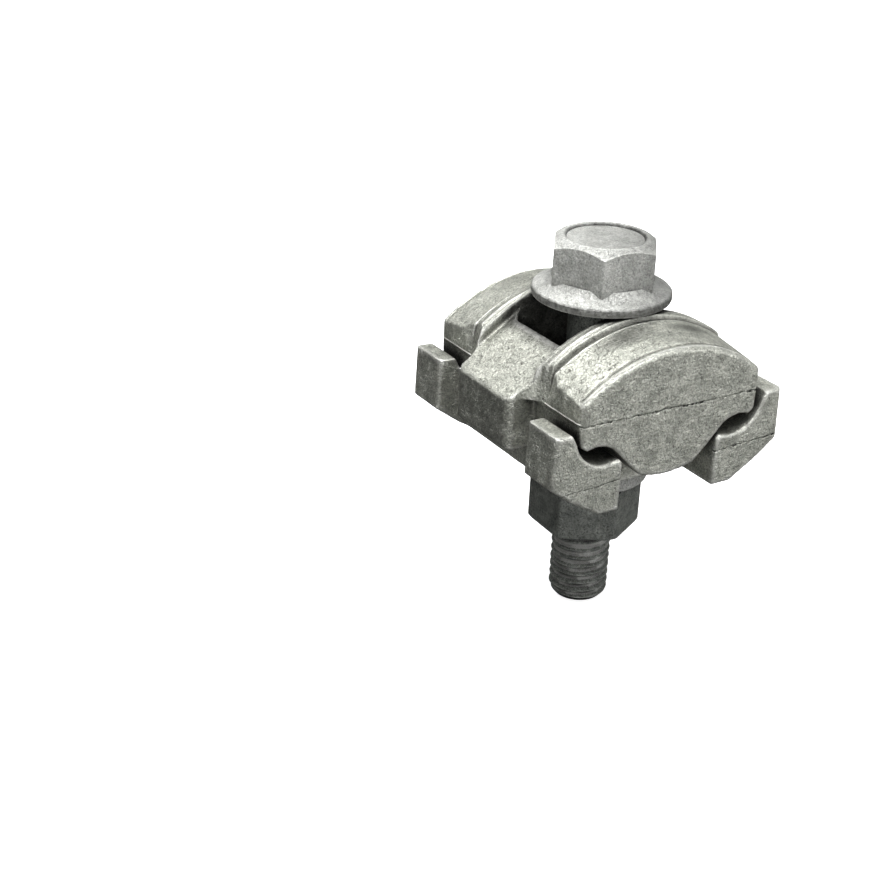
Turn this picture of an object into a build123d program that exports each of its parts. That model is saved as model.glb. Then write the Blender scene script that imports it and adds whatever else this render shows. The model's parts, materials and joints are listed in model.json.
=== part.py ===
from build123d import *
from math import radians, tan
import os

os.makedirs("parts", exist_ok=True)

# Parallel groove clamp for two conductors, millimetres.
# +Z runs up the bolt towards its head, Y runs along the conductors, X runs across them.
# The origin is on the bolt axis, half way up the conductor grooves.

# fits
seat_gap = 0.05          # head, washer and nut faces against the faces they bear on
thread_fit = 0.06        # radial, nut and washer bores round the bolt
saddle_gap = 0.35        # closed jaws, between the keel and its saddle
hook_proud = 0.16        # hooks of the lower jaw past the lugs

# flange bolt
bolt_r = 4.0
flange_r = 8.95
flange_rim = 1.15
flange_rise = 2.5
head_across = 13.0
head_height = 8.0
head_underside = 13.5
head_turn = 23.4         # degrees, as the bolt was left
bolt_end = -29.7
end_chamfer = 0.9

# upper jaw
half_length = 16.1       # end faces
body_half_width = 13.7
lug_reach = 3.74         # lugs past the sides of the end blocks
lug_chamfer = 0.9
lug_half_length = 6.1
end_round = 0.9          # upright corners of the end blocks
lug_inner = 13.35
lug_bottom = -2.3
parting_z = 4.3
crown_r = 20.9           # arched top of each end block
crown_end = 11.95        # its height at the brow
crown_fall = 0.15        # drop per millimetre towards the end face
rib_r = 21.0             # raised rib that carries the bolt flange
rib_inner = 6.3
rib_outer = 8.6
shoulder_slope = 34.0
pocket_half_width = 9.2
pocket_floor = 2.5
slot_length = 12.0
slot_width = 9.2
lip_tip = (12.5, 0.9)
groove_crown = (10.1, 1.05)
keel_top = (8.5, 0.4)
keel_side = (6.1, -2.2)
keel_foot = (4.15, -4.0)
keel_bottom = -4.7
sweep_share = 0.7        # of the lug's reach, taken by the hollow corner behind it
sweep_lean = 0.2         # the hollow corner opens upwards
crown_round = 0.7        # the worn brow along the end face
brow_fall = 0.6

# lower jaw
jaw_half_length = 16.46
hook_round = 0.7
hook_top = 3.7
hook_inner = 14.9
groove_start = (14.21, 2.27)
groove_mid = (12.6, -0.24)
groove_end = (9.5, -1.27)
leg_peak = (7.75, -0.95)
leg_inner = 7.3
leg_foot = 10.3
jaw_bottom = -7.9
slant_mid = (13.95, -5.75)
slant_top = -3.1
window_half_length = 10.2
window_x = 12.45
plate_half_length = 10.4
boss_r = 8.6
boss_height = 1.1
bolt_hole_r = 4.6
pad_height = 0.5
pad_length = 12.0

lug_half_width = body_half_width + lug_reach
jaw_half_width = lug_half_width + hook_proud
corner_sweep = sweep_share * lug_reach
far = 3 * lug_half_width  # beyond every face

# washer and nut
washer_r = 8.1
washer_thickness = 2.0
nut_across = 13.0
nut_height = 7.5
nut_chamfer = 0.7
nut_turn = -1.7          # degrees, as the nut was left


def block(x0, x1, y0, y1, z0, z1):
    return Pos((x0 + x1) / 2, (y0 + y1) / 2, (z0 + z1) / 2) * Box(x1 - x0, y1 - y0, z1 - z0)


def along_y(outline, start, length):
    """Profile drawn in X and Z, carried along Y."""
    sketch = Plane.XZ * make_face(outline)
    return Pos(0, start, 0) * extrude(sketch, amount=length, dir=(0, 1, 0))


def mirrored_path(points):
    return points + [(-x, z) for x, z in reversed(points)]


def crown(top, radius, start, length, fall):
    """Solid under an arched top, the arch sinking by fall per millimetre along Y."""
    half, floor = 0.91 * radius, -far
    edge = top - radius + (radius**2 - half**2) ** 0.5
    arch = ThreePointArc((-half, edge), (0, top), (half, edge))
    sides = Polyline((half, edge), (half, floor), (-half, floor), (-half, edge))
    sketch = Plane.XZ * make_face(arch + sides)
    return Pos(0, start, 0) * extrude(sketch, amount=length * (1 + fall**2) ** 0.5, dir=(0, 1, -fall))


def keel_outline():
    """Cross-section of the upper jaw below the parting plane: two groove roofs and the keel between."""
    right = Polyline((body_half_width, far), (body_half_width, parting_z), (body_half_width - 0.3, lip_tip[1] + 0.6), lip_tip)
    right += ThreePointArc(lip_tip, groove_crown, keel_top)
    right += Polyline(keel_top, keel_side, keel_foot)
    left = mirror(right, about=Plane.YZ)
    bottom = ThreePointArc(keel_foot, (0, keel_bottom), (-keel_foot[0], keel_foot[1]))
    roof = Line((body_half_width, far), (-body_half_width, far))
    return right + left + bottom + roof


def end_block():
    """One arched end with its rib; the -Y end is its mirror image."""
    length = half_length - rib_outer - crown_round
    arched = crown(crown_end + crown_fall * length, crown_r, rib_outer, length, crown_fall)
    brow = crown(crown_end, crown_r, half_length - crown_round, crown_round, brow_fall)
    rib = crown(head_underside - seat_gap, rib_r, rib_inner, rib_outer - rib_inner, 0)
    return arched + brow + rib


def plan_outline():
    """Jaw seen from above, the lugs swept into the end blocks."""
    sketch = Rectangle(2 * body_half_width, 2 * half_length) + Rectangle(2 * lug_half_width, 2 * lug_half_length)
    inner = [v for v in sketch.vertices() if abs(abs(v.X) - body_half_width) < 0.01 and abs(v.Y) < half_length - 1]
    sketch = fillet(inner, corner_sweep)
    lug = [v for v in sketch.vertices() if abs(abs(v.X) - lug_half_width) < 0.01]
    sketch = chamfer(lug, lug_chamfer)
    ends = [v for v in sketch.vertices() if abs(v.Y) > half_length - 0.01]
    return fillet(ends, end_round)


def upper_jaw():
    end = end_block()
    rise = tan(radians(shoulder_slope))
    shoulder = parting_z + (lug_half_width - pocket_half_width) * rise
    slope = Polyline((lug_half_width + 1, -far), (lug_half_width + 1, parting_z - rise),
                     (pocket_half_width - 2, shoulder + 2 * rise), (-pocket_half_width + 2, shoulder + 2 * rise),
                     (-lug_half_width - 1, parting_z - rise), (-lug_half_width - 1, -far),
                     (lug_half_width + 1, -far))
    middle = along_y(slope, -rib_inner, 2 * rib_inner)
    top = end + mirror(end, about=Plane.XZ) + middle
    cap = extrude(plan_outline(), amount=far) & top
    depth = head_underside - parting_z + 2
    hollow = Cone(corner_sweep - sweep_lean * depth, corner_sweep + sweep_lean * depth, 2 * depth)
    corners = GridLocations(2 * (body_half_width + corner_sweep), 2 * (lug_half_length + corner_sweep), 2, 2)
    cap -= Pos(0, 0, parting_z) * corners * hollow
    cap -= Pos(0, 0, parting_z - far / 2) * Box(2 * far, 2 * far, far)
    keel = along_y(keel_outline(), -half_length, 2 * half_length)
    keel &= Pos(0, 0, parting_z - far) * extrude(plan_outline(), amount=far)
    lug = block(lug_inner, lug_half_width, -lug_half_length, lug_half_length, lug_bottom, parting_z)
    lug = chamfer(lug.edges().filter_by(Axis.Z).group_by(Axis.X)[-1], lug_chamfer)
    lug = fillet(lug.faces().sort_by(Axis.Z)[0].edges().sort_by(Axis.X)[-1:], 0.6)
    jaw = cap + keel + lug + mirror(lug, about=Plane.YZ)
    pocket = RectangleRounded(2 * pocket_half_width, 2 * rib_inner, 2.0)
    jaw -= Pos(0, 0, pocket_floor) * extrude(pocket, amount=20)
    slot = SlotOverall(slot_length, slot_width)
    jaw -= Pos(0, 0, -10) * extrude(slot, amount=20)
    return jaw


def side_bar():
    """One side of the lower jaw: groove floor, slanted outer face and the two hooks."""
    outline = Polyline(groove_end, leg_peak, (leg_inner, leg_peak[1] - 0.5), (leg_inner, jaw_bottom),
                       (leg_foot, jaw_bottom), slant_mid, (jaw_half_width, slant_top),
                       (jaw_half_width - 0.25, hook_top), (hook_inner, hook_top - 0.15), groove_start)
    outline += ThreePointArc(groove_start, groove_mid, groove_end)
    bar = along_y(outline, -jaw_half_length, 2 * jaw_half_length)
    bar -= block(window_x, far, -window_half_length, window_half_length, -far, far)
    upright = [e for e in bar.edges() if e.center().X > jaw_half_width - 0.3 and abs(e.tangent_at(0.5).Z) > 0.9]
    return fillet(upright, hook_round)


def lower_jaw():
    bar = side_bar()
    foot = (keel_foot[0] + 0.2, keel_foot[1] - saddle_gap)
    side = (keel_side[0] + 0.25, keel_side[1] - saddle_gap)
    wall = (leg_inner + 0.3, leg_peak[1] - 0.2)
    saddle = ThreePointArc((-foot[0], foot[1]), (0, keel_bottom - saddle_gap), foot)
    saddle += Polyline(foot, side, wall, (wall[0], jaw_bottom), (-wall[0], jaw_bottom), (-wall[0], wall[1]),
                       (-side[0], side[1]), (-foot[0], foot[1]))
    plate = along_y(saddle, -plate_half_length, 2 * plate_half_length)
    boss = Pos(0, 0, jaw_bottom - boss_height) * extrude(Circle(boss_r), amount=boss_height + 0.5)
    pad = block(leg_inner + 0.3, leg_foot - 0.2, -pad_length / 2, pad_length / 2, jaw_bottom - pad_height, jaw_bottom)
    jaw = bar + mirror(bar, about=Plane.YZ) + plate + boss + pad + mirror(pad, about=Plane.YZ)
    return jaw - Pos(0, 0, -20) * extrude(Circle(bolt_hole_r), amount=30)


def hexagon(across, height, edge):
    """Hexagonal prism with its two faces turned down to a circle."""
    prism = extrude(RegularPolygon(across / 2, 6, major_radius=False, rotation=30), amount=height)
    reach = across / 3**0.5
    top = reach - across / 2 + edge * 0.2
    turned = Polyline((0, 0), (reach - top, 0), (reach, top * 0.577), (reach, height - top * 0.577),
                      (reach - top, height), (0, height), (0, 0))
    return prism & revolve(Plane.XZ * make_face(turned), Axis.Z)


def flange_bolt():
    top = head_underside + head_height
    cone = Polyline((0, 0), (flange_r - 0.3, 0), (flange_r, 0.3), (flange_r, flange_rim),
                    (head_across / 2 + 0.2, flange_rise), (0, flange_rise), (0, 0))
    flange = Pos(0, 0, head_underside) * revolve(Plane.XZ * make_face(cone), Axis.Z)
    head = Pos(0, 0, head_underside) * hexagon(head_across, head_height, end_chamfer)
    head &= block(-far, far, -far, far, head_underside + 1, top)
    head = Rot(0, 0, head_turn) * head
    head -= Pos(0, 0, top - 0.4) * extrude(Circle(head_across / 2 - 1.6), amount=1)
    shank = Pos(0, 0, bolt_end) * extrude(Circle(bolt_r), amount=head_underside - bolt_end + 0.5)
    shank = chamfer(shank.edges().sort_by(Axis.Z)[0], end_chamfer)
    return flange + head + shank


def ring(bottom, height, outer):
    tube = Circle(outer) - Circle(bolt_r + thread_fit)
    return Pos(0, 0, bottom) * extrude(tube, amount=height)


washer_top = jaw_bottom - boss_height - seat_gap
washer_bottom = washer_top - washer_thickness
nut_bottom = washer_bottom - seat_gap - nut_height


def washer():
    return ring(washer_bottom, washer_thickness, washer_r)


def hex_nut():
    body = Rot(0, 0, nut_turn) * hexagon(nut_across, nut_height, nut_chamfer)
    body = Pos(0, 0, nut_bottom) * body
    return body - Pos(0, 0, nut_bottom - 1) * extrude(Circle(bolt_r + thread_fit), amount=nut_height + 2)


def save(shape, name):
    export_step(shape, "parts/" + name + ".step")


save(upper_jaw(), "upper_jaw")
save(lower_jaw(), "lower_jaw")
save(flange_bolt(), "flange_bolt")
save(washer(), "washer")
save(hex_nut(), "hex_nut")
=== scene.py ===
import bpy
import json
from math import atan2, cos, radians, sin, tau
from mathutils import Matrix, Vector

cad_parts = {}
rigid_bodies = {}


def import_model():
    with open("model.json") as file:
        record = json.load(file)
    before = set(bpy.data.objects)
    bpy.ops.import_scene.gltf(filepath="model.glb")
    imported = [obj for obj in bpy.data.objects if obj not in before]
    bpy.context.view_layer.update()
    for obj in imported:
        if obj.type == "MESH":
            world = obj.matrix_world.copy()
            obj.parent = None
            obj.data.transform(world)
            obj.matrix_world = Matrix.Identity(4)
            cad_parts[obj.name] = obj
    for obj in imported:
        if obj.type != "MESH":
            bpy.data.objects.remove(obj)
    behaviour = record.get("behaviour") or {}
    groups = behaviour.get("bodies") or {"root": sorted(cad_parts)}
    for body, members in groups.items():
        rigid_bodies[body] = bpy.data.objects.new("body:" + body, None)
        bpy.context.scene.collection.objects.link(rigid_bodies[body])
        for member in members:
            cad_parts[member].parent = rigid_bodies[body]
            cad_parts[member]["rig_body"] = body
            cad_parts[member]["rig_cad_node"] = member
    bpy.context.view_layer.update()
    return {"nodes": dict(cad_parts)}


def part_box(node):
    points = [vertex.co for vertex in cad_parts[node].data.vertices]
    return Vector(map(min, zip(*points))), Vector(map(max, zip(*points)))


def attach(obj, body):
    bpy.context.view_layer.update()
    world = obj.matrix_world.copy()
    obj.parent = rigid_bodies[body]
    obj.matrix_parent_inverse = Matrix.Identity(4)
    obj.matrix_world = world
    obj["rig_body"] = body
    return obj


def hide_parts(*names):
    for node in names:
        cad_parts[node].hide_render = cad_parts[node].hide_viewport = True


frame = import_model()
mm = 0.001


def deselect():
    if bpy.context.object and bpy.context.object.mode != "OBJECT":
        bpy.ops.object.mode_set(mode="OBJECT")
    bpy.ops.object.select_all(action="DESELECT")


def pick(obj):
    deselect()
    obj.select_set(True)
    bpy.context.view_layer.objects.active = obj


def edit(obj, mode="VERT"):
    pick(obj)
    bpy.ops.object.mode_set(mode="EDIT")
    bpy.ops.mesh.select_mode(type=mode)
    bpy.ops.mesh.select_all(action="DESELECT")


def leave():
    bpy.ops.object.mode_set(mode="OBJECT")


def settle(obj):
    pick(obj)
    bpy.ops.object.transform_apply(location=True, rotation=True, scale=True)
    return obj


def modify(obj, kind, **settings):
    pick(obj)
    mod = obj.modifiers.new(kind.lower(), kind)
    for key, value in settings.items():
        setattr(mod, key, value)
    bpy.ops.object.modifier_apply(modifier=mod.name)


def keepShared(obj, tool):
    # only what lies in both shapes stays
    modify(obj, "BOOLEAN", object=tool, operation="INTERSECT", solver="EXACT")
    bpy.data.objects.remove(tool, do_unlink=True)


def softenEdges(obj, width):
    modify(obj, "BEVEL", width=width * mm, segments=3, limit_method="ANGLE", angle_limit=radians(50))


def smoothBy(obj, degrees):
    pick(obj)
    bpy.ops.object.shade_smooth_by_angle(angle=radians(degrees))


def turned(name, profile, steps, cuts=0):
    # a chain of edges drawn point by point, spun about Z
    bpy.ops.mesh.primitive_plane_add(size=mm)
    obj = bpy.context.object
    obj.name = name
    edit(obj)
    bpy.ops.mesh.select_all(action="SELECT")
    bpy.ops.mesh.merge(type="CENTER")
    r, z = profile[0]
    bpy.ops.transform.translate(value=(r * mm, 0, z * mm))
    for (r0, z0), (r1, z1) in zip(profile, profile[1:]):
        bpy.ops.mesh.extrude_region_move(
            TRANSFORM_OT_translate={"value": ((r1 - r0) * mm, 0, (z1 - z0) * mm)})
    bpy.ops.mesh.select_all(action="SELECT")
    if cuts:
        bpy.ops.mesh.subdivide(number_cuts=cuts)
    bpy.ops.mesh.spin(steps=steps, angle=tau, center=(0, 0, 0), axis=(0, 0, 1))
    bpy.ops.mesh.select_all(action="SELECT")
    bpy.ops.mesh.remove_doubles(threshold=0.002 * mm)
    bpy.ops.mesh.normals_make_consistent(inside=False)
    leave()
    return obj


def above(level, profile):
    # profile points of radius and height over a level
    return [(r, level + rise) for r, rise in profile]


def hexPrism(name, across, z0, z1, turn):
    bpy.ops.mesh.primitive_cylinder_add(vertices=6, radius=across / 3 ** 0.5 * mm, depth=(z1 - z0) * mm,
                                        location=(0, 0, (z0 + z1) / 2 * mm), rotation=(0, 0, radians(turn)))
    obj = bpy.context.object
    obj.name = name
    return settle(obj)


def cadCopy(name, node):
    pick(frame["nodes"][node])
    bpy.ops.object.duplicate()
    obj = bpy.context.object
    obj.name = name
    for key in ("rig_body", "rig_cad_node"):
        if key in obj:
            del obj[key]
    obj.parent = None
    edit(obj)
    bpy.ops.mesh.select_all(action="SELECT")
    bpy.ops.mesh.remove_doubles(threshold=0.003 * mm)
    bpy.ops.mesh.dissolve_limited(angle_limit=radians(0.5))
    bpy.ops.mesh.quads_convert_to_tris()
    leave()
    return obj


def pressGrooves(obj, look):
    # shallow grooves that follow the arches
    points = obj.data.vertices
    facingUp = [v.normal.z > look["upright"] for v in points]  # read before any point moves
    for v, up in zip(points, facingUp):
        if up and v.co.z > look["archFoot"] * mm and abs(v.co.x) < look["archSide"] * mm:
            for away, wide, deep in look["grooves"]:
                gap = abs(abs(v.co.y) / mm - away) / wide
                if gap < 1:
                    v.co.z -= deep * mm * (1 - gap)


def casting(name, node, look):
    # the solid's form, with the soft edges and uneven skin that the mould leaves
    obj = cadCopy(name, node)
    modify(obj, "REMESH", mode="VOXEL", voxel_size=look["voxel"] * mm)
    modify(obj, "SMOOTH", factor=0.5, iterations=look["soften"])
    pressGrooves(obj, look)
    skin = bpy.data.textures.new(name + "Skin", "CLOUDS")
    skin.noise_scale = look["waveSize"] * mm
    skin.noise_depth = 3
    modify(obj, "DISPLACE", texture=skin, strength=look["waveHeight"] * mm, mid_level=0.5, texture_coords="LOCAL")
    share = look["triangles"] / (2 * len(obj.data.polygons))
    if share < 1:
        modify(obj, "DECIMATE", ratio=share)
    pick(obj)
    bpy.ops.object.shade_smooth()
    return obj


print("castings")
castLook = {"voxel": 0.16, "soften": 6, "waveSize": 2.2, "waveHeight": 0.07, "triangles": 180000,
            "grooves": [(8.75, 0.38, 0.15), (15.1, 0.32, 0.13)],  # distance from the middle, half width, depth
            "upright": 0.25, "archFoot": 4.9, "archSide": 13.3}
upper = casting("upperJaw", "upper_jaw", castLook)
lower = casting("lowerJaw", "lower_jaw", dict(castLook, grooves=[]))

print("bolt head and flange")
headLook = {"underside": 13.5, "top": 21.5, "across": 12.61, "turn": 23.4, "hexFoot": 1.2, "edge": 0.22, "steps": 96,
            # radius, height over the underside
            "flange": [(0, 0), (8.6, 0), (8.85, 0.08), (8.95, 0.3), (8.93, 0.95), (8.75, 1.15),
                       (8.3, 1.3), (7.6, 1.62), (7.0, 2.05), (6.6, 2.6), (0, 2.6)],
            # radius, height over the top: chamfer, rounded rim and dish
            "crown": [(9, -2.2), (7.6, -1.5), (6.35, -0.62), (5.95, -0.3), (5.5, -0.12),
                      (5.1, -0.22), (4.9, -0.5), (4.6, -0.58), (3.5, -0.62), (0, -0.7)]}
underside, headTop = headLook["underside"], headLook["top"]
flange = turned("boltFlange", above(underside, headLook["flange"]), headLook["steps"])
head = hexPrism("boltHead", headLook["across"], underside + headLook["hexFoot"], headTop, headLook["turn"])
softenEdges(head, headLook["edge"])
crown = [(0, underside), (9, underside)] + above(headTop, headLook["crown"])
keepShared(head, turned("headTurned", crown, headLook["steps"]))
smoothBy(head, 32)
smoothBy(flange, 40)

print("bolt shank")
shankLook = {"radius": 4.0, "end": -29.7, "threadTop": -6.0, "pitch": 1.25, "depth": 0.62, "steps": 72,
             "ringStep": 0.11, "grooveShare": 0.42, "grooveFloor": 1.15, "runOut": 2,
             "tipRadius": 3.25, "tipSlope": 0.85, "neckFoot": (3.9, 0.5), "neckLap": 0.5}
shankR, shankEnd, threadTop = shankLook["radius"], shankLook["end"], shankLook["threadTop"]
thread = turned("boltShank", [(shankR, shankEnd), (shankR, threadTop)], shankLook["steps"],
                cuts=int((threadTop - shankEnd) / shankLook["ringStep"]))
for v in thread.data.vertices:
    z = v.co.z / mm
    turn = (z / shankLook["pitch"] - atan2(v.co.y, v.co.x) / tau) % 1
    groove = max(0, 1 - abs(turn - 0.5) / shankLook["grooveShare"])
    fade = min(1, max(0, (threadTop - z) / shankLook["runOut"]))
    radius = shankR - shankLook["depth"] * min(groove * shankLook["grooveFloor"], 1) * fade
    radius = min(radius, shankLook["tipRadius"] + max(0, z - shankEnd) * shankLook["tipSlope"])
    reach = Vector((v.co.x, v.co.y)).length
    v.co.x, v.co.y = [side / reach * radius * mm for side in (v.co.x, v.co.y)]
edit(thread, "EDGE")
bpy.ops.mesh.select_non_manifold()
bpy.ops.mesh.fill()
bpy.ops.mesh.select_all(action="SELECT")
bpy.ops.mesh.normals_make_consistent(inside=False)
leave()
smoothBy(thread, 50)
footR, footDrop = shankLook["neckFoot"]
neckTop = underside + shankLook["neckLap"]
neck = turned("boltNeck", [(0, threadTop - footDrop), (footR, threadTop - footDrop), (shankR, threadTop),
                           (shankR, neckTop), (0, neckTop)], shankLook["steps"])
smoothBy(neck, 40)

print("washer")
# radius, height over the lower or the upper face
washerLook = {"steps": 96, "bore": (4.1, 0.1), "lower": [(4.2, 0), (7.8, 0), (8.0, 0.12), (8.08, 0.4)],
              "upper": [(8.08, -0.35), (7.95, -0.1), (7.7, 0), (4.2, 0), (4.1, -0.1)]}
washerLow, washerHigh = [corner.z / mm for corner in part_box("washer")]
washerBore = above(washerLow, [washerLook["bore"]])
washer = turned("washerRing", washerBore + above(washerLow, washerLook["lower"])
                + above(washerHigh, washerLook["upper"]) + washerBore, washerLook["steps"])
smoothBy(washer, 40)

print("nut")
# radius, height over the lower or the upper face
nutLook = {"across": 13.0, "turn": -1.7, "edge": 0.25, "steps": 96,
           "lower": [(4.75, 0), (6.8, 0), (7.6, 0.42)],
           "upper": [(7.6, -0.75), (6.3, 0), (4.75, 0), (4.1, -0.6)],
           "boreFoot": [(4.1, 0.6), (4.75, 0)]}
nutLow, nutHigh = [corner.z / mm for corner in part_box("hex_nut")]
nut = hexPrism("nutBody", nutLook["across"], nutLow, nutHigh, nutLook["turn"])
softenEdges(nut, nutLook["edge"])
nutForm = above(nutLow, nutLook["lower"]) + above(nutHigh, nutLook["upper"]) + above(nutLow, nutLook["boreFoot"])
keepShared(nut, turned("nutTurned", nutForm, nutLook["steps"]))
smoothBy(nut, 32)


class Wire:
    def __init__(self, tree, socket=None):
        self.tree = tree
        self.socket = socket

    def make(self, kind, inputs=None, out=0, **settings):
        node = self.tree.nodes.new("ShaderNode" + kind)
        for key, value in settings.items():
            setattr(node, key, value)
        for key, value in (inputs or {}).items():
            if isinstance(value, Wire):
                self.tree.links.new(value.socket, node.inputs[key])
            else:
                node.inputs[key].default_value = value
        return Wire(self.tree, node.outputs[out])

    def feed(self, node, name):
        self.tree.links.new(self.socket, node.inputs[name])

    def maths(self, how, other, swap=False):
        first, second = (other, self) if swap else (self, other)
        return self.make("Math", {0: first, 1: second}, operation=how)

    def __abs__(self): return self.maths("ABSOLUTE", 0)
    def __add__(self, other): return self.maths("ADD", other)
    def __radd__(self, other): return self.maths("ADD", other, True)
    def __sub__(self, other): return self.maths("SUBTRACT", other)
    def __rsub__(self, other): return self.maths("SUBTRACT", other, True)
    def __mul__(self, other): return self.maths("MULTIPLY", other)
    def __rmul__(self, other): return self.maths("MULTIPLY", other, True)
    def __gt__(self, other): return self.maths("GREATER_THAN", other)


def ramp(wire, low, high, start=0.0, end=1.0):
    return wire.make("MapRange", {"Value": wire, "From Min": low, "From Max": high, "To Min": start, "To Max": end})


def rampMm(wire, low, high, start=0.0, end=1.0):
    return ramp(wire, low * mm, high * mm, start, end)


def line(distance, width):
    # 1 on the line, falling to 0 at the width given
    return ramp(abs(distance), width, 0)


class Finish:
    # colour and relief of one metal, laid on layer by layer
    def __init__(self, tree, look):
        self.look = look
        self.coords = Wire(tree).make("TexCoord", out="Object")
        self.x, self.y, self.z = [self.coords.make("SeparateXYZ", {0: self.coords}, out=axis) for axis in "XYZ"]
        self.sideX, self.sideY = abs(self.x), abs(self.y)
        self.cloud = self.noise(look["cloud"], 5, 0.65)
        self.speck = self.noise(look["speck"], 4, 0.7)
        self.wobble = self.noise(1.6, 3) * (0.3 * mm) - 0.15 * mm

    def noise(self, size, detail, rough=0.6):
        return self.coords.make("TexNoise", {"Vector": self.coords, "Scale": 1 / (size * mm), "Detail": detail,
                                             "Roughness": rough}, out="Fac")

    def nearness(self, reach, **settings):
        return self.coords.make("AmbientOcclusion", {"Distance": reach * mm}, out="AO", samples=6, **settings)

    def mix(self, factor, first, second, how="MIX"):
        return self.coords.make("Mix", {0: factor, 6: first, 7: second}, out=2, data_type="RGBA", blend_type=how)

    def tint(self, mask, colour):
        self.tone = self.mix(mask, self.tone, (*colour, 1))

    def darken(self, mask):
        # real dark marks and painted shade both use this tone
        self.tint(mask, self.look["markAndShadeTone"])

    def brighten(self, mask):
        # worn metal and painted highlights both use this tone
        self.tint(mask, self.look["wornAndHighlightTone"])

    def multiply(self, amount):
        grey = self.coords.make("CombineColor", {0: amount, 1: amount, 2: amount})
        self.tone = self.mix(1.0, self.tone, grey, "MULTIPLY")


def bareMetal(finish, look):
    cloud, speck = finish.cloud, finish.speck
    grain = finish.noise(look["grain"], 3)
    scratch = finish.noise(look["scratch"], 3, 0.55)
    finish.tone = finish.mix(ramp(cloud, 0.35, 0.65), (*look["dark"], 1), (*look["light"], 1))
    finish.tint(ramp(speck, 0.5, 0.75, 0, look["speckAmount"]), look["speckTone"])
    finish.multiply(ramp(grain, 0.25, 0.75, 1 - look["grainAmount"], 1 + look["grainAmount"]))
    nick = line(scratch - 0.5, 0.016) * ramp(speck, 0.42, 0.6)
    glint = line(scratch - 0.56, 0.018) * ramp(cloud, 0.4, 0.6)
    finish.brighten(glint * look["glintAmount"])
    finish.darken(nick * look["nickAmount"])
    finish.height = grain * 0.6 + speck * 0.8 + cloud * 0.5 - nick * 0.7 + glint * 0.4


def rubbedEdges(finish, look):
    # where little metal lies behind the surface, it is an outer edge
    solid = finish.nearness(look["edgeReach"], inside=True, only_local=True)
    worn = ramp(solid, *look["edge"]) * ramp(finish.cloud, 0.3, 0.6, 0.6, 1)
    finish.brighten(worn * look["edgeAmount"])
    return worn


def archLines(finish, arch):
    # lines that follow the arch of the jaw: grooves with painted shade and raised beads with painted highlights
    area = rampMm(finish.z, *arch["foot"]) * rampMm(finish.sideX, *arch["side"])
    for away, wide, deep, dark, bright in arch["lines"]:
        mark = line(finish.sideY + finish.wobble - away * mm, wide * mm) * area
        finish.height = finish.height - mark * deep
        if dark:
            finish.darken(mark * dark)
        if bright:
            finish.brighten(mark * bright)


def mouldSeam(finish, seam):
    # parting line across the end faces, broken and pitted
    wander = finish.noise(3.0, 2) * (0.5 * mm) - 0.25 * mm
    off = finish.z - finish.x * seam["slope"] - seam["height"] * mm + wander
    endFace = finish.sideY > seam["face"] * mm
    pits = ramp(finish.noise(0.7, 3), 0.48, 0.6)
    broken = ramp(finish.noise(5.0, 2), 0.38, 0.56) * rampMm(finish.x, *seam["faint"])
    mark = line(off, seam["width"] * mm) * endFace * broken
    hole = line(off + 0.08 * mm, seam["width"] * 2.4 * mm) * endFace * pits * broken
    finish.darken(mark * 0.6)
    finish.tint(ramp(hole, 0.3, 0.6) * 0.95, finish.look["pitsAndShadeTone"])
    finish.height = finish.height - mark * 0.8 - hole * 2.2 + rampMm(off, -0.06, 0.06) * endFace * 0.5


def mouldFlash(finish, flash):
    # thin raised line where the halves of the mould met, along the sides of the arched ends, with a painted highlight
    # on it and a line of painted shade just below
    rise = finish.z - flash["height"] * mm + finish.wobble * 0.5
    flank = (finish.sideY > flash["inner"] * mm) * rampMm(finish.sideY, *flash["outer"])
    flank = flank * (finish.sideX > flash["side"] * mm)
    ridge = line(rise, 0.14 * mm) * flank
    shade = line(rise + 0.3 * mm, 0.2 * mm) * flank
    finish.darken(shade * 0.6)
    finish.brighten(ridge * 0.8)
    finish.height = finish.height + ridge * 1.2


def pocketShade(finish, pocket):
    # painted shade in the opening round the bolt, under the flange
    x, y = pocket["x"], pocket["y"]
    shadeMask = rampMm(finish.sideX, x + pocket["fade"], x + 0.2) * rampMm(finish.sideY, y + 0.5, y + 0.1)
    shadeMask = shadeMask * (finish.z > pocket["floor"] * mm) * ramp(finish.speck, 0.3, 0.7, 1, 0.75)
    finish.tint(shadeMask * 0.93, finish.look["pitsAndShadeTone"])


def darkPatches(finish, patches):
    # dark patches on the front arch, beside the flange
    for x, y, wide, deep in patches["places"]:
        across = (finish.x - x * mm) * (1 / (wide * mm))
        along = (finish.y - y * mm) * (1 / (deep * mm))
        patch = ramp(across * across + along * along + finish.speck * 1.2, 1.7, 0.7)
        finish.darken(patch * (finish.z > patches["above"] * mm) * 0.6)


def flankShade(finish, flank):
    # painted shade on the outer side faces that stand furthest from the bolt
    x, amount = flank["x"], flank["amount"]
    outer = rampMm(finish.sideX, x - 0.15, x + 0.2)
    finish.darken(outer * ramp(finish.speck, 0.3, 0.6, amount, amount * 0.5))


def cornerHighlight(finish, corner):
    # a painted highlight along the corner edge of those faces
    x, y = corner["x"], corner["y"]
    diagonal = rampMm(finish.sideX + finish.sideY, x + y - 0.95, x + y - 0.75)
    finish.brighten(diagonal * rampMm(finish.sideY, y, y - 0.1) * 0.5)


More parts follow.
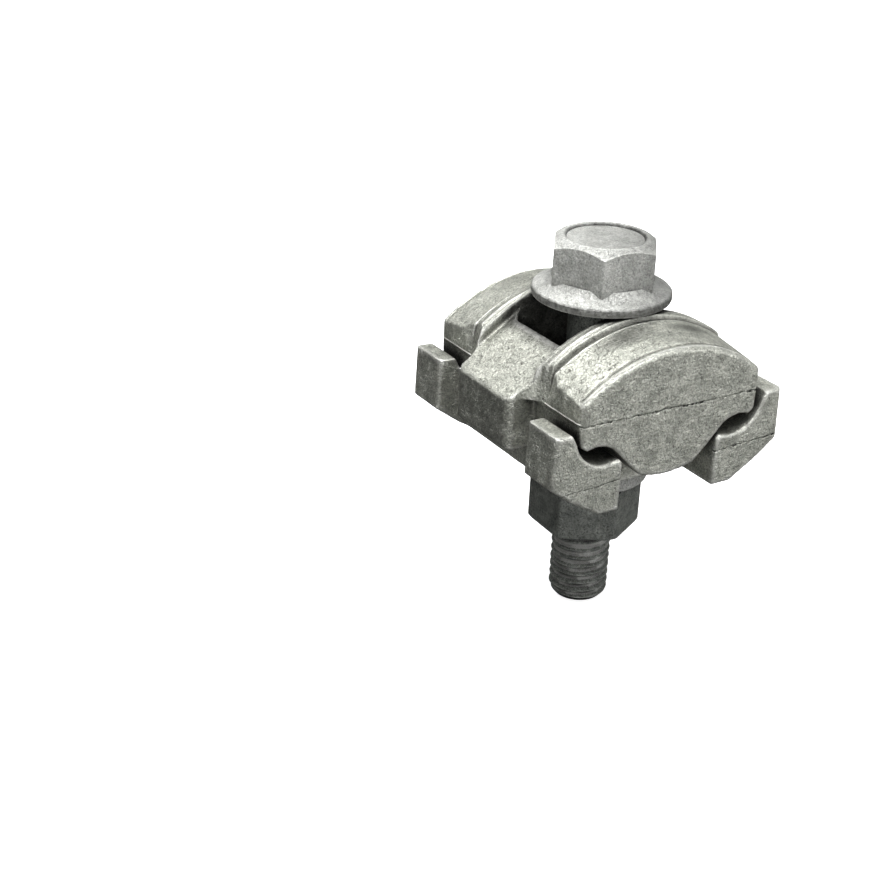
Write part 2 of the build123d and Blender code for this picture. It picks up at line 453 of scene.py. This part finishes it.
def headLightAndMarks(finish, marks):
    # painted light and shade across the head, lighter towards -X and darker towards +X, a dark ring round the dish
    # and a darker rim on the flange
    finish.multiply(rampMm(finish.x * -0.8 + finish.y * 0.35, -6, 6, *marks["sideLight"]))
    radius = (finish.x * finish.x + finish.y * finish.y).maths("SQRT", 0)
    ring = line(radius + finish.wobble * 2.2 - marks["ring"] * mm, marks["ringWidth"] * mm)
    ring = ring * (finish.z > marks["ringAbove"] * mm)
    rim = rampMm(radius, *marks["rim"]) * rampMm(finish.z, *marks["rimTop"]) * rampMm(finish.z, *marks["rimFoot"])
    finish.tint(rim * ramp(finish.speck, 0.35, 0.6, 0.3, 0.8), marks["rimTone"])
    finish.tint(ring * 0.95, marks["ringTone"])
    finish.height = finish.height - ring * 1.5


layers = {"arch": archLines, "seam": mouldSeam, "flash": mouldFlash, "pocket": pocketShade,
          "patches": darkPatches, "flank": flankShade, "corner": cornerHighlight, "marks": headLightAndMarks}


def metal(name, look):
    mat = bpy.data.materials.new(name)
    mat.use_nodes = True
    shader = mat.node_tree.nodes["Principled BSDF"]
    finish = Finish(mat.node_tree, look)
    bareMetal(finish, look)
    worn = rubbedEdges(finish, look)
    for key, layer in layers.items():
        if key in look:
            layer(finish, look[key])
    openness = finish.nearness(look["creaseShadeReach"])  # painted shade in the tight places: creases, recesses and gaps between parts
    finish.multiply(ramp(openness, 0.42, 0.9, 1 - look["creaseShade"], 1))
    finish.tone.feed(shader, "Base Color")
    (ramp(finish.speck, 0.3, 0.7, *look["rough"]) - worn * 0.08).feed(shader, "Roughness")
    shader.inputs["Metallic"].default_value = look["metallic"]
    bump = finish.coords.make("Bump", {"Height": finish.height, "Strength": look["bump"],
                                       "Distance": look["bumpDepth"] * mm})
    bump.feed(shader, "Normal")
    return mat


print("materials")
# sizes and places in mm; a pair says where a layer begins and where it is full
metalLook = {"cloud": 2.2, "speck": 0.85, "grain": 0.25, "scratch": 1.3,
             "grainAmount": 0.5, "glintAmount": 0.28, "nickAmount": 0.7, "speckAmount": 0.38, "edgeAmount": 0.95,
             "dark": (0.385, 0.392, 0.35), "light": (0.6, 0.608, 0.545), "speckTone": (0.15, 0.15, 0.13),
             # the three tones on the next line serve worn metal and painted highlights, real marks and painted shade,
             # seam pits and painted shade
             "wornAndHighlightTone": (0.88, 0.88, 0.84), "markAndShadeTone": (0.05, 0.05, 0.045), "pitsAndShadeTone": (0.012, 0.012, 0.011),
             # the last two set the painted shade in creases and gaps between parts
             "edge": (0.84, 0.62), "edgeReach": 0.9, "creaseShade": 0.93, "creaseShadeReach": 2.8,
             "rough": (0.34, 0.56), "metallic": 0.8, "bump": 0.9, "bumpDepth": 0.17}
upperCast = dict(
    metalLook,
    arch={"foot": (4.8, 5.6), "side": (13.5, 13.1),
          # distance from the middle, half width, depth, how much painted shade, how much painted highlight
          "lines": [(6.55, 0.16, 0.5, 0.3, 0), (7.5, 0.5, -1.2, 0, 0.35), (8.75, 0.3, 1.1, 0.75, 0),
                    (9.2, 0.16, -0.6, 0, 0.55), (15.1, 0.2, 0.8, 0.6, 0), (15.55, 0.25, -0.8, 0, 0.6)]},
    seam={"height": 4.17, "slope": -0.007, "width": 0.12, "face": 15.6, "faint": (-12, -7, 0.2, 1)},
    flash={"height": 4.45, "inner": 8.4, "outer": (15.8, 15.6), "side": 12.9},
    pocket={"x": 9.2, "y": 6.3, "fade": 1.8, "floor": 1.0},
    patches={"above": 8, "places": [(-4.4, -10.9, 4.6, 1.9), (5.6, -11.0, 3.6, 1.2)]},  # X, Y, half width, half depth
    flank={"x": 17.0, "amount": 0.6},
    corner={"x": 17.0, "y": 6.9})
lowerCast = dict(
    metalLook,
    seam={"height": -3.4, "slope": 0.044, "width": 0.1, "face": 15.9, "faint": (-12, -7, 0.2, 1)},
    flank={"x": 17.2, "amount": 0.2})
washerZinc = dict(
    metalLook, dark=(0.4, 0.404, 0.385), light=(0.62, 0.625, 0.6), markAndShadeTone=(0.08, 0.08, 0.075),
    cloud=2.0, speck=0.5, scratch=1.1, grainAmount=0.45, creaseShade=0.6, edge=(0.75, 0.55),
    rough=(0.36, 0.55), metallic=0.5)
boltZinc = dict(
    washerZinc,
    # the first pair paints light and shade across the head
    marks={"sideLight": (0.6, 1.3), "ring": 4.9, "ringWidth": 0.36, "ringAbove": 21.0, "ringTone": (0.03, 0.03, 0.028),
           "rim": (8.6, 8.8), "rimTop": (14.75, 14.5), "rimFoot": (13.6, 13.8), "rimTone": (0.06, 0.06, 0.056)})
nutDark = dict(
    washerZinc, dark=(0.13, 0.138, 0.128), light=(0.25, 0.262, 0.242), speckTone=(0.065, 0.07, 0.063),
    wornAndHighlightTone=(0.42, 0.43, 0.41), scratch=0.9, grainAmount=0.75, glintAmount=0.55, nickAmount=0.8, speckAmount=0.7,
    creaseShade=0.9, edge=(0.7, 0.5), edgeReach=0.5, rough=(0.4, 0.6))
threadSteel = dict(
    washerZinc, dark=(0.1, 0.108, 0.098), light=(0.21, 0.224, 0.203), speckTone=(0.05, 0.05, 0.047),
    wornAndHighlightTone=(0.6, 0.6, 0.58), scratch=0.7, grainAmount=0.85, glintAmount=0.6, nickAmount=0.9,
    creaseShade=0.9, edge=(0.7, 0.5), edgeReach=0.35)
looks = {"castUpper": upperCast, "castLower": lowerCast, "boltZinc": boltZinc, "nutDark": nutDark,
         "threadSteel": threadSteel, "washerZinc": washerZinc}
mats = {name: metal(name, look) for name, look in looks.items()}


def dress(obj, mat, body, nodes):
    obj.data.materials.clear()
    obj.data.materials.append(mats[mat])
    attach(obj, body)
    for node in nodes:
        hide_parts(node)


dress(upper, "castUpper", "upper", ["upper_jaw"])
dress(lower, "castLower", "lower", ["lower_jaw"])
dress(head, "boltZinc", "bolt", ["flange_bolt"])
dress(flange, "boltZinc", "bolt", [])
dress(thread, "threadSteel", "bolt", [])
dress(neck, "threadSteel", "bolt", [])
dress(washer, "washerZinc", "lower", ["washer"])
dress(nut, "nutDark", "nut", ["hex_nut"])

print("floor and room")
floorLook = {"size": 3, "height": -0.0305, "colour": (0.8, 0.8, 0.8, 1), "glow": 0.8,
             "bounce": (0.06, 0.06, 0.06, 1)}
bpy.ops.mesh.primitive_plane_add(size=floorLook["size"], location=(0, 0, floorLook["height"]))
floor = bpy.context.object
floor.name = "floor"
floorMat = bpy.data.materials.new("floorPale")
floorMat.use_nodes = True
seen = Wire(floorMat.node_tree).make("LightPath", out="Is Camera Ray")
pale = seen.make("BsdfDiffuse", {"Color": floorLook["colour"]})
glow = seen.make("Emission", {"Color": (1, 1, 1, 1), "Strength": floorLook["glow"]})
lit = seen.make("AddShader", {0: pale, 1: glow})
dim = seen.make("BsdfDiffuse", {"Color": floorLook["bounce"]})  # sends little light back up onto the clamp
seen.make("MixShader", {0: seen, 1: dim, 2: lit}).feed(floorMat.node_tree.nodes["Material Output"], "Surface")
floor.data.materials.append(floorMat)

# where each glow of the room begins and ends, and its strength there
roomLook = {"overhead": (-0.1, 0.9, 0.015, 0.6), "frontRight": (0.2, 0.9, 0, 0.25), "tint": (0.95, 0.96, 0.94, 1)}
world = bpy.data.worlds.new("studio")
bpy.context.scene.world = world
world.use_nodes = True
rays = Wire(world.node_tree).make("LightPath", out="Is Camera Ray")
white = rays.make("Background", {"Color": (1, 1, 1, 1), "Strength": 1.0})
way = rays.make("TexCoord", out="Generated")
wayX, wayY, wayZ = [way.make("SeparateXYZ", {0: way}, out=axis) for axis in "XYZ"]
room = ramp(wayZ, *roomLook["overhead"]) + ramp(wayX * 0.75 - wayY * 0.45, *roomLook["frontRight"])
grey = rays.make("Background", {"Color": roomLook["tint"], "Strength": room})
rays.make("MixShader", {0: rays, 1: grey, 2: white}).feed(world.node_tree.nodes["World Output"], "Surface")

print("lamps and camera")
# place, size, power
lamps = {"keyTop": ((-0.04, -0.08, 0.5), 0.3, 3.0), "frontFill": ((0.35, -0.5, 0.08), 0.25, 1.5),
         "leftFill": ((-0.42, -0.4, 0.2), 0.25, 1.1), "backTop": ((-0.1, 0.35, 0.4), 0.25, 0.8)}
for name, (place, size, power) in lamps.items():
    lamp = bpy.data.lights.new(name, "AREA")
    lamp.size = size
    lamp.energy = power
    obj = bpy.data.objects.new(name, lamp)
    bpy.context.scene.collection.objects.link(obj)
    obj.location = place
    obj.rotation_euler = (-Vector(place)).to_track_quat("-Z", "Y").to_euler()

cameraLook = {"place": (-115.11, -149.51, 81.23), "azimuth": -31.7, "elevation": 25.47, "roll": 2.19,
              "lens": 63.68, "sensor": 36, "clipStart": 0.005}
azimuth, elevation, roll = [radians(cameraLook[key]) for key in ("azimuth", "elevation", "roll")]
back = Vector((sin(azimuth) * cos(elevation), -cos(azimuth) * cos(elevation), sin(elevation)))
level = Vector((cos(azimuth), sin(azimuth), 0))
plumb = back.cross(level)
right = level * cos(roll) + plumb * sin(roll)
up = plumb * cos(roll) - level * sin(roll)
cameraData = bpy.data.cameras.new("camera")
cameraData.lens = cameraLook["lens"]
cameraData.sensor_width = cameraLook["sensor"]
cameraData.clip_start = cameraLook["clipStart"]
camera = bpy.data.objects.new("camera", cameraData)
bpy.context.scene.collection.objects.link(camera)
facing = Matrix((right, up, back)).transposed().to_4x4()
camera.matrix_world = Matrix.Translation(Vector(cameraLook["place"]) * mm) @ facing
bpy.context.scene.camera = camera
bpy.context.scene.view_settings.view_transform = "Standard"
